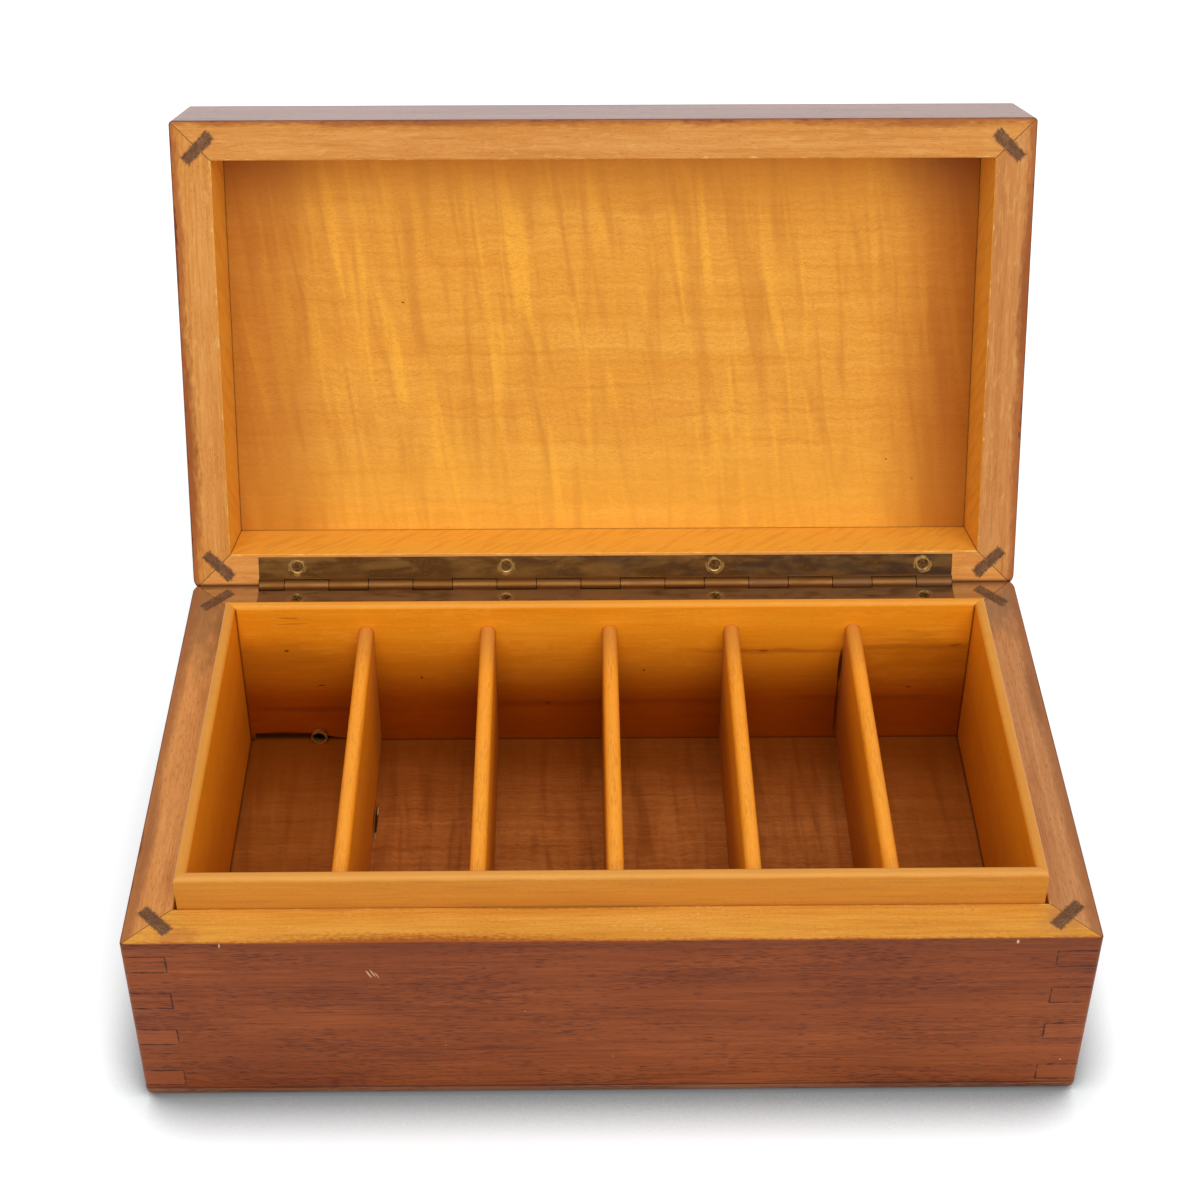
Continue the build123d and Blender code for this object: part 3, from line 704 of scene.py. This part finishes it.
# Painted shade with dirt where the panel meets the lid's walls
panelSeams = [("X", 181.3, True, 0.5, 0.35), ("Y", 95.6, True, 0.5, 0.35)]
panelMarks = (panelSeams, panelSpots, panelEnds, panelCornerShade)
dress(curlyMaterial("curlyMaplePanel", "lid", panelWood, curl, *panelMarks), "lid_inner_panel")
floorWood = dict(goldenWood, tones=("#A05A24", "#BA6E30", "#CE8242"), fibreShare=0.25, marks=[])
floorCurl = dict(
    curl, fibreSwing=4, bandTilt=-0.04,
    shade=dict(curl["shade"], size=(6, 60), tint=("#783C14", 0.42, 0.82, 0.55)),
    bright=dict(curl["bright"], size=(6, 60), tint=("#D08440", 0.52, 0.9, 0.6)),
    ripple=dict(curl["ripple"], size=(5, 0.7), tint=("#683210", 0.42, 0.68, 0.34)),
    lines=dict(curl["lines"], colour="#4A220C", depth=0.12),
)
# Painted shade with dirt in the floor's corners, and a wider painted shade where the floor runs in under
# the back lining
floorSeams = [("X", lining["insideX"], True, 1.2, 0.8), ("Y", lining["insideBack"] + 3, False, 3.6, 0.95),
              ("Y", lining["insideFront"], False, 1.2, 0.8)]
floorEnds = [("X", -100, -140, "#8A4C0C", 0.5), ("X", 120, 150, "#8A4C0C", 0.4),
             ("Y", 6, 74, "#743200", 0.82)]
floorSlotShadeAndGlints = [  # painted shade of a slot beside the foot of the first divider, with painted glints on its edges
    ((-108.9, 20.5, 29), (0.95, 13.5, 3), "#1E0A04", 0.9),
    ((-108.5, 27.5, 29), (0.4, 3.6, 3), "#D8A870", 0.8),
    ((-108.7, 11.5, 29), (0.4, 2.8, 3), "#C89458", 0.8, (0, 0, 0.1)),
]
dress(curlyMaterial("curlyMapleFloor", "base", floorWood, floorCurl, floorSeams, floorSlotShadeAndGlints, floorEnds,
                    finish=dict(satin, gloss=0.06)), "floor_board")
print("panel and floor finished")

# Countersunk brass screws, turned and slotted crosswise: a raised rim rubbed bright and carrying a painted
# highlight, round a dirty middle
screwShape = dict(
    count=4, headRadius=0.0035, length=0.014, stands=0.0001, slot=(0.0034, 0.0009, 0.0018),
    # radius and height of each turned ring, in millimetres, from the point to the middle of the head
    rings=[(0.4, -14), (1.6, -11), (1.6, -8), (1.6, -5), (1.6, -1.9), (3.5, 0), (3.36, 0.1), (3, 0.1),
           (2.72, -0.06), (2.3, -0.16), (1.9, -0.16)], sides=48,
)
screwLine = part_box("hinge_lower_screws")
firstScrew = screwLine[0].x + screwShape["headRadius"]
screwStep = (screwLine[1].x - screwShape["headRadius"] - firstScrew) / (screwShape["count"] - 1)
screwY = (screwLine[0].y + screwLine[1].y) / 2


def screwReach(tree, shut):
    # Millimetres from the middle of the nearest screw in the row
    x, y = add(tree, "SeparateXYZ", [shut]).outputs[:2]
    step = screwStep * perMetre
    place = add(tree, "Math", [x, step / 2 - firstScrew * perMetre], **plus)
    place = add(tree, "Math", [place, 1 / step], **times)
    place = add(tree, "Math", [place], operation="FRACT")
    aside = add(tree, "Math", [place, step, -step / 2], **timesPlus)
    ahead = add(tree, "Math", [y, screwY * perMetre], **minus)
    reach = add(tree, "CombineXYZ", [aside, ahead])
    return add(tree, "VectorMath", [reach], **length).outputs["Value"]


# Sheet brass, rolled and long tarnished: brown, with brighter places, bright rings round the screws, a
# brown tint along the knuckle and dark blotches
brass = dict(
    dull="#64431E", bright=("#8C6834", 0.35, 0.68), haze=("#9C7850", 0.2, 0.5, 0.6),
    film=("#A8804A", 0.56, 0.76, 0.35), knuckleTint=("#764C20", 5.6, 4.8, 0.85), blotch="#301C0C",
    streakSize=(18, 6), blotchSize=(16, 7), speckSize=(1.2, 0.5), knuckleTintGrit=((16, 1.4), 2.4, 4, (6, 2, 4)),
    toRight=0.0015, blotchLevel={"base": 0.58, "lid": 0.42}, blotchSoft=0.4, blotchDepth=0.75, ringReach=4,
    ringGrit=((3, 3), 3, 3, (3, 9, 1)), ring=("#CCA45E", 2.1, 1.4), ringDepth={"base": 0.2, "lid": 0.6},
    metal=(0.9, 0.35), roughness=(0.62, 0.4), relief=0.3,
)
pinLine = Vector((0, pinPoint.y, pinPoint.z)) * perMetre


def brassMaterial(name, body):
    material, tree, shut = bodyMaterial(name, body)[:3]
    tarnish = streaks(tree, shut, *brass["streakSize"], detail=5, bend=0.8)
    colour = tintWhere(tree, hexColour(brass["dull"]), tarnish, *brass["bright"])
    if body == "base":
        colour = tintWhere(tree, colour, tarnish, *brass["haze"])
    specks = streaks(tree, shut, *brass["speckSize"], shift=(2, 8, 1))
    colour = tintWhere(tree, colour, specks, *brass["film"])
    x = add(tree, "SeparateXYZ", [shut]).outputs["X"]
    patch = streaks(tree, shut, *brass["blotchSize"], detail=4, shift=(4, 2, 2))
    darker = add(tree, "Math", [x, brass["toRight"], patch], **timesPlus)
    level = brass["blotchLevel"][body]  # the lid's leaf is darker
    blotch = [darker, level, level + brass["blotchSoft"], 0, brass["blotchDepth"]]
    blotch = add(tree, "MapRange", blotch, **softStep)
    colour = add(tree, "Mix", {0: blotch, 6: colour, 7: hexColour(brass["blotch"])}, **colourMix)
    aside = add(tree, "VectorMath", [shut, pinLine], **minus)
    aside = add(tree, "VectorMath", [aside, (0, 1, 1)], **times)
    reach = add(tree, "VectorMath", [aside], **length).outputs["Value"]
    reach = roughen(tree, reach, shut, *brass["knuckleTintGrit"])
    colour = tintWhere(tree, colour.outputs[2], reach, *brass["knuckleTint"])
    # The countersunk edges round the screws are rubbed bright and carry a painted highlight, in broken
    # rings, fainter on the lower leaf as painted shade
    ring = apart(tree, screwReach(tree, shut), brass["ringReach"])
    ring = roughen(tree, ring, shut, *brass["ringGrit"])
    colour = tintWhere(tree, colour, ring, *brass["ring"], brass["ringDepth"][body])
    metal = add(tree, "MapRange", [blotch, 0, 1, *brass["metal"]])
    rough = add(tree, "MapRange", [tarnish, 0, 1, *brass["roughness"]])
    surface(tree, {"Base Color": colour, "Metallic": metal, "Roughness": rough}, patch, brass["relief"])
    return material


dress(brassMaterial("tarnishedBrassBase", "base"), "hinge_lower_leaf", "hinge_pin")
dress(brassMaterial("tarnishedBrassLid", "lid"), "hinge_upper_leaf")

screwInputs = {  # what the screws' node tree is given: kinds and values, seed and finish by row
    "Count": ("Int", screwShape["count"]), "First Place": ("Vector", (firstScrew, 0, 0)),
    "Step": ("Vector", (screwStep, 0, 0)), "Head Radius": ("Float", screwShape["headRadius"]),
    "Length": ("Float", screwShape["length"]), "Head Stands": ("Float", screwShape["stands"]),
    "Slot": ("Vector", screwShape["slot"]), "Seed": ("Int", 0), "Finish": ("Material", None),
}


def screwTree():
    tree = bpy.data.node_groups.new("countersunkScrews", "GeometryNodeTree")
    for name, (kind, value) in screwInputs.items():
        tree.interface.new_socket(name, in_out="INPUT", socket_type=f"NodeSocket{kind}")
    tree.interface.new_socket("Geometry", in_out="OUTPUT", socket_type="NodeSocketGeometry")
    given = add(tree, "NodeGroupInput").outputs
    rings = screwShape["rings"]
    blank = add(tree, "GeometryNodeMeshCylinder", {
        "Vertices": screwShape["sides"], "Side Segments": len(rings) - 1, "Radius": 1, "Depth": 1})
    place = add(tree, "GeometryNodeInputPosition")
    level = add(tree, "Math", [add(tree, "SeparateXYZ", [place]).outputs["Z"], 0.5], **plus)
    tall = screwShape["length"] * perMetre
    stands = screwShape["stands"] * perMetre
    curves = []
    for values in ([radius / (screwShape["headRadius"] * perMetre) for radius, height in rings],
                   [(height + tall) / (tall + stands) for radius, height in rings]):
        curve = add(tree, "FloatCurve", {"Value": level})
        points = curve.mapping.curves[0].points
        points[0].location = (0, values[0])
        points[-1].location = (1, values[-1])
        for number, value in enumerate(values[1:-1], 1):
            points.new(number / (len(values) - 1), value)
        for point in points:
            point.handle_type = "VECTOR"
        curve.mapping.update()
        curves.append(curve)
    reach = add(tree, "Math", [curves[0], given["Head Radius"]], **times)
    whole = add(tree, "Math", [given["Length"], given["Head Stands"]], **plus)
    height = add(tree, "Math", [curves[1], whole], **times)
    height = add(tree, "Math", [height, given["Length"]], **minus)
    flat = add(tree, "VectorMath", {0: place, "Scale": reach}, operation="SCALE")
    flat = add(tree, "SeparateXYZ", [flat]).outputs
    turned = add(tree, "CombineXYZ", [*flat[:2], height])
    turned = add(tree, "GeometryNodeSetPosition", {"Geometry": blank, "Position": turned})
    slot = add(tree, "GeometryNodeMeshCube", [given["Slot"]])
    crossSlot = add(tree, "GeometryNodeTransform", {"Geometry": slot, "Rotation": (0, 0, math.pi / 2)})
    cut = add(tree, "GeometryNodeMeshBoolean", [turned, slot], operation="DIFFERENCE")
    tree.links.new(crossSlot.outputs[0], cut.inputs[1])
    row = {"Count": given["Count"], "Start Location": given["First Place"], "Offset": given["Step"]}
    line = add(tree, "GeometryNodeMeshLine", row, mode="OFFSET")
    turn = add(tree, "FunctionNodeRandomValue", {
        0: (0, 0, 0), 1: (0, 0, math.pi), "Seed": given["Seed"]}, data_type="FLOAT_VECTOR")
    placed = {"Points": line, "Instance": cut, "Rotation": turn}
    placed = add(tree, "GeometryNodeInstanceOnPoints", placed)
    real = add(tree, "GeometryNodeRealizeInstances", [placed])
    dressed = add(tree, "GeometryNodeSetMaterial", {"Geometry": real, "Material": given["Finish"]})
    add(tree, "NodeGroupOutput", [dressed])
    return tree


# The lower row lies in the shade of the lid: its rings are painted fainter, as painted shade
screwFinish = dict(
    metal="#866636", dirt=("#3A2611", 0.44, 0.66, 0.8), dirtSize=(1.4, 1.4), dirtSwing=-1.4,
    ringGrit=((9, 9), -1.6, 1, (1, 4, 2)), ring=("#D2AA60", 1, 1.5), ringDepth={"base": 0.3, "lid": 0.6},
    metallic=0.7, roughness=0.36, relief=0.5,
)


def screwMaterial(name, body):
    material, tree, shut = bodyMaterial(name, body)[:3]
    dirt = streaks(tree, shut, *screwFinish["dirtSize"], detail=3, bend=1, shift=(5, 5, 1))
    colour = tintWhere(tree, hexColour(screwFinish["metal"]), dirt, *screwFinish["dirt"])
    ring = roughen(tree, screwReach(tree, shut), shut, *screwFinish["ringGrit"])
    ring = add(tree, "Math", [dirt, screwFinish["dirtSwing"], ring], **timesPlus)
    colour = tintWhere(tree, colour, ring, *screwFinish["ring"], screwFinish["ringDepth"][body])
    surface(tree, {"Base Color": colour, "Metallic": screwFinish["metallic"],
                   "Roughness": screwFinish["roughness"]}, dirt, screwFinish["relief"])
    return material


def makeScrews(name, body, node, place, seed):
    # Four screws in a row, driven by one node tree, made plain mesh and set into their leaf
    tree = screwTree()
    mesh = bpy.data.meshes.new(name)
    maker = bpy.data.objects.new(name + "Maker", mesh)
    sceneObjects.link(maker)
    modifier = maker.modifiers.new("screws", "NODES")
    modifier.node_group = tree
    values = {key: pair[1] for key, pair in screwInputs.items()}
    values.update({"Seed": seed, "Finish": screwMaterial(name + "Brass", body)})
    for socket in tree.interface.items_tree:
        if socket.name in values:
            modifier[socket.identifier] = values[socket.name]
    seen = maker.evaluated_get(bpy.context.evaluated_depsgraph_get())
    mesh = bpy.data.meshes.new_from_object(seen)
    mesh.transform(place)
    maker.modifiers.clear()
    bpy.data.objects.remove(maker)
    piece = bpy.data.objects.new(name, mesh)
    sceneObjects.link(piece)
    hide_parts(node)
    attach(piece, body)


lowerFace = shutLevels("hinge_lower_screws", "base")[-1] / perMetre
upperFace = shutLevels("hinge_upper_screws", "lid")[0] / perMetre
toOpen = Matrix.Translation(pinPoint) @ Matrix.Rotation(-openAngle, 4, "X") @ Matrix.Translation(-pinPoint)
lowerPlace = Matrix.Translation((0, screwY, lowerFace))
upperPlace = toOpen @ Matrix.Translation((0, screwY, upperFace)) @ Matrix.Rotation(math.pi, 4, "X")
makeScrews("lowerLeafScrews", "base", "hinge_lower_screws", lowerPlace, 4)
makeScrews("upperLeafScrews", "lid", "hinge_upper_screws", upperPlace, 5)
print("screws made")


# Turned brass tube, kept bright by use: pale yellow metal with brown dirt, and painted shade on the far
# side of its hollow
ferrule = dict(
    metal="#DCA44E", dirt=("#7A5020", 0.44, 0.64, 0.8), dirtSize=(2.5, 2.5), metallic=0.85, roughness=0.3,
    farSideShade=("#1E0E06", lining["insideBack"] - 1.5, lining["insideBack"] + 1, 0.9),
)


def ferruleMaterial():
    material, tree, shut = bodyMaterial("turnedBrassFerrule", "base")[:3]
    dirt = streaks(tree, shut, *ferrule["dirtSize"], detail=3)
    colour = tintWhere(tree, hexColour(ferrule["metal"]), dirt, *ferrule["dirt"])
    y = add(tree, "SeparateXYZ", [shut]).outputs["Y"]
    # Painted shade on the far side of the hollow
    colour = tintWhere(tree, colour, y, *ferrule["farSideShade"])
    metal, rough = ferrule["metallic"], ferrule["roughness"]
    surface(tree, {"Base Color": colour, "Metallic": metal, "Roughness": rough})
    return material


dress(ferruleMaterial(), "liner_ferrule")
print("finishes on all nodes")

studio = dict(
    skyLevel=0.62, keyLevel=1.7, keyAngle=50, keyTilt=(38, 7, 0), floorSize=8, floorShade="#E4E4E4",
    floorLift=0.255, liftColour="#E8FAFF",
    contact=(0.038, 8, 0.45, 0.98, 0.22),  # the shadow's reach, samples, start, end and depth
)


def seenBy(tree, *kinds):
    # 1 for the kinds of ray that show a thing to the eye, 0 for those that only carry its light
    rays = add(tree, "LightPath").outputs
    seen = rays[f"Is {kinds[0]} Ray"]
    for kind in kinds[1:]:
        seen = add(tree, "Math", [seen, rays[f"Is {kind} Ray"]], **most)
    return seen


def makeStudio():
    world = bpy.data.worlds.new("studioSky")
    bpy.context.scene.world = world
    world.use_nodes = True
    tree = world.node_tree
    tree.nodes.clear()
    seen = seenBy(tree, "Camera", "Glossy", "Transmission")
    lit, white = (add(tree, "Background", [(1, 1, 1, 1), level]) for level in (studio["skyLevel"], 1))
    add(tree, "OutputWorld", [add(tree, "MixShader", [seen, lit, white])])

    key = bpy.data.lights.new("softKey", "SUN")
    key.energy = studio["keyLevel"]
    key.angle = math.radians(studio["keyAngle"])
    lamp = bpy.data.objects.new("softKey", key)
    lamp.rotation_euler = [math.radians(tilt) for tilt in studio["keyTilt"]]
    sceneObjects.link(lamp)

    half = studio["floorSize"] / 2
    mesh = bpy.data.meshes.new("studioFloor")
    corners = [(-half, -half, 0), (half, -half, 0), (half, half, 0), (-half, half, 0)]
    mesh.from_pydata(corners, [], [(0, 1, 2, 3)])
    floor = bpy.data.objects.new("studioFloor", mesh)
    sceneObjects.link(floor)
    material, tree = newMaterial("paleFloor")
    seen = seenBy(tree, "Camera", "Glossy")
    shade = add(tree, "Mix", {
        0: seen, 6: hexColour(studio["floorShade"]), 7: (1, 1, 1, 1)}, **colourMix).outputs[2]
    reach, samples, start, end, shadow = studio["contact"]
    near = add(tree, "AmbientOcclusion", {"Distance": reach}, samples=samples).outputs["AO"]
    contact = add(tree, "MapRange", [near, start, end, shadow], **softStep)
    shade = add(tree, "VectorMath", {0: shade, "Scale": contact}, operation="SCALE")
    matt = add(tree, "BsdfDiffuse", [shade])
    lift = add(tree, "Math", [seen, studio["floorLift"]], **times)
    lift = add(tree, "Math", [lift, contact], **times)
    glow = add(tree, "Emission", [hexColour(studio["liftColour"]), lift])
    add(tree, "OutputMaterial", [add(tree, "AddShader", [matt, glow])])
    mesh.materials.append(material)


makeStudio()
print("studio lit")

# The camera stands in front of the chest and looks down into it
viewpoint = dict(
    place=(-0.015375, -0.718039, 0.789449), yaw=0.5878, pitch=-36.4292, roll=0.0543, focalPixels=2210.151,
    axisPixel=(590.318, 454.253), framePixels=1200, sensorWidth=36,
)


def makeCamera():
    yaw, pitch, roll = (math.radians(viewpoint[name]) for name in ("yaw", "pitch", "roll"))
    lens = bpy.data.cameras.new("viewCamera")
    size = viewpoint["framePixels"]
    lens.sensor_width = viewpoint["sensorWidth"]
    lens.lens = viewpoint["focalPixels"] / size * lens.sensor_width
    lens.shift_x = (size / 2 - viewpoint["axisPixel"][0]) / size
    lens.shift_y = (viewpoint["axisPixel"][1] - size / 2) / size
    camera = bpy.data.objects.new("viewCamera", lens)
    place = Matrix.Translation(viewpoint["place"])
    for angle, axis in ((-yaw, "Z"), (pitch + math.pi / 2, "X"), (roll, "Z")):
        place = place @ Matrix.Rotation(angle, 4, axis)
    camera.matrix_world = place
    sceneObjects.link(camera)
    bpy.context.scene.camera = camera


makeCamera()
bpy.context.scene.view_settings.view_transform = "Standard"
